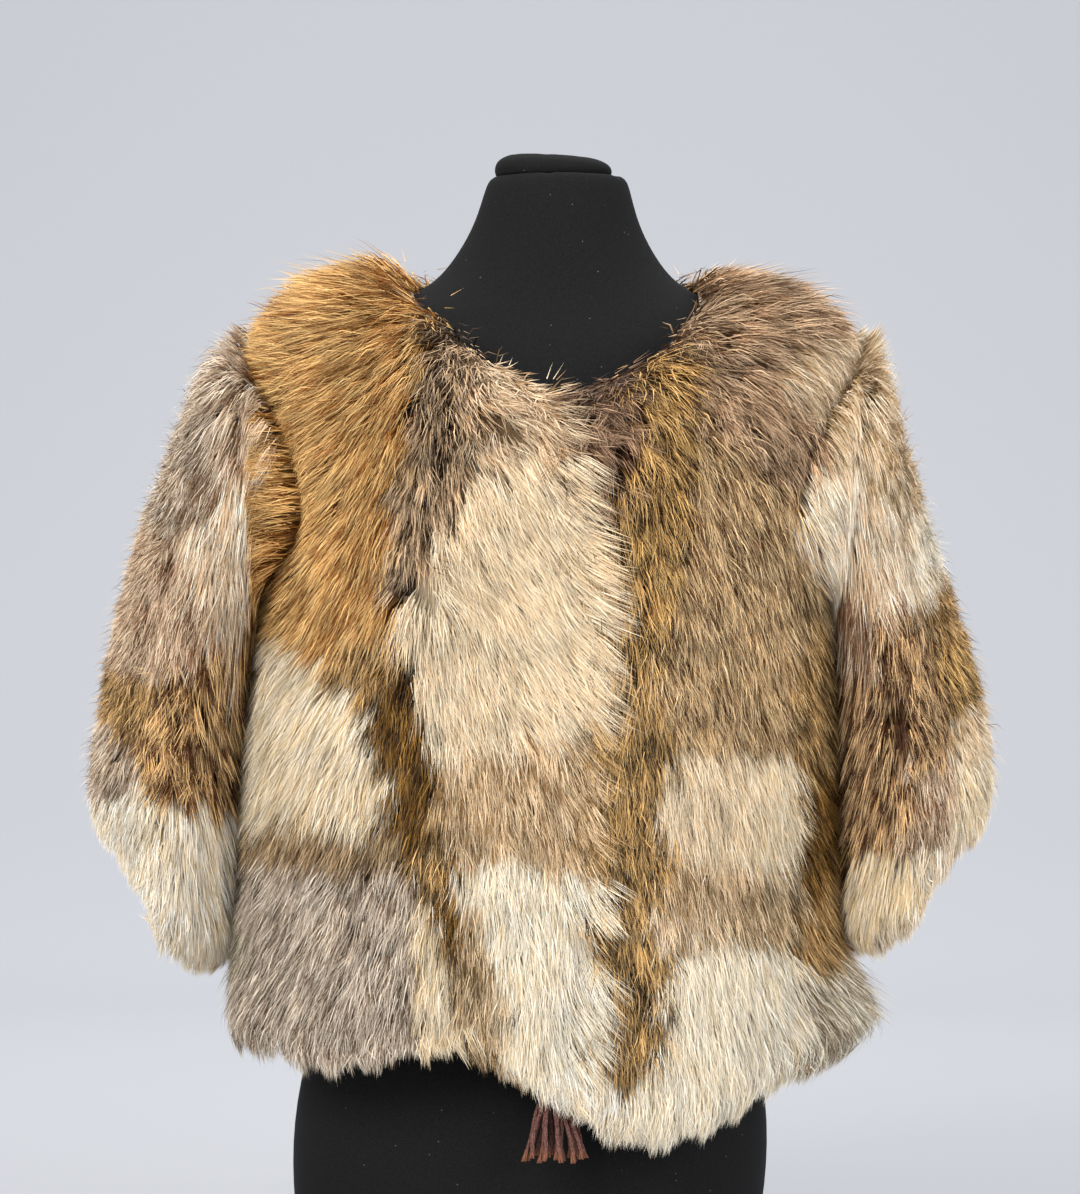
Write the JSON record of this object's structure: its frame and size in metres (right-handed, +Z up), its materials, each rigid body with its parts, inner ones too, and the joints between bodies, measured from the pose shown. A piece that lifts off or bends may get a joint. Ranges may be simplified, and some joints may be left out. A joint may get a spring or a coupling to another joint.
{
  "type": "fur bolero on a dress form",
  "caption": "Short open-fronted patchwork bolero of long-haired fur with wide elbow-length sleeves and a yarn tassel, worn by a black limbless dress form.",
  "frame": {"origin": "centre of the whole's outline seen from above, at the level of the dress form's flat foot", "axes": "+Z up, -Y the way the wearer faces, +X the wearer's left"},
  "size_m": [0.6568, 0.3764, 0.8386],
  "materials": {
    "fox_fur": "long glossy guard hair, red-gold, cream and grey-brown patches",
    "coyote_fur": "long guard hair banded dark brown, ochre and cream",
    "grey_brown_fur": "long guard hair, grey-brown with pale tips and cream patches",
    "wool_yarn": "matt dark red-brown wool",
    "black_jersey": "matt black knitted jersey"
  },
  "bodies": {
    "root": {"right_front": "fox_fur", "left_front": "coyote_fur", "back": "coyote_fur", "right_sleeve": "grey_brown_fur", "left_sleeve": "grey_brown_fur", "tassel": "wool_yarn", "dress_form": "black_jersey", "neck_cap": "black_jersey"}
  },
  "joints": []
}
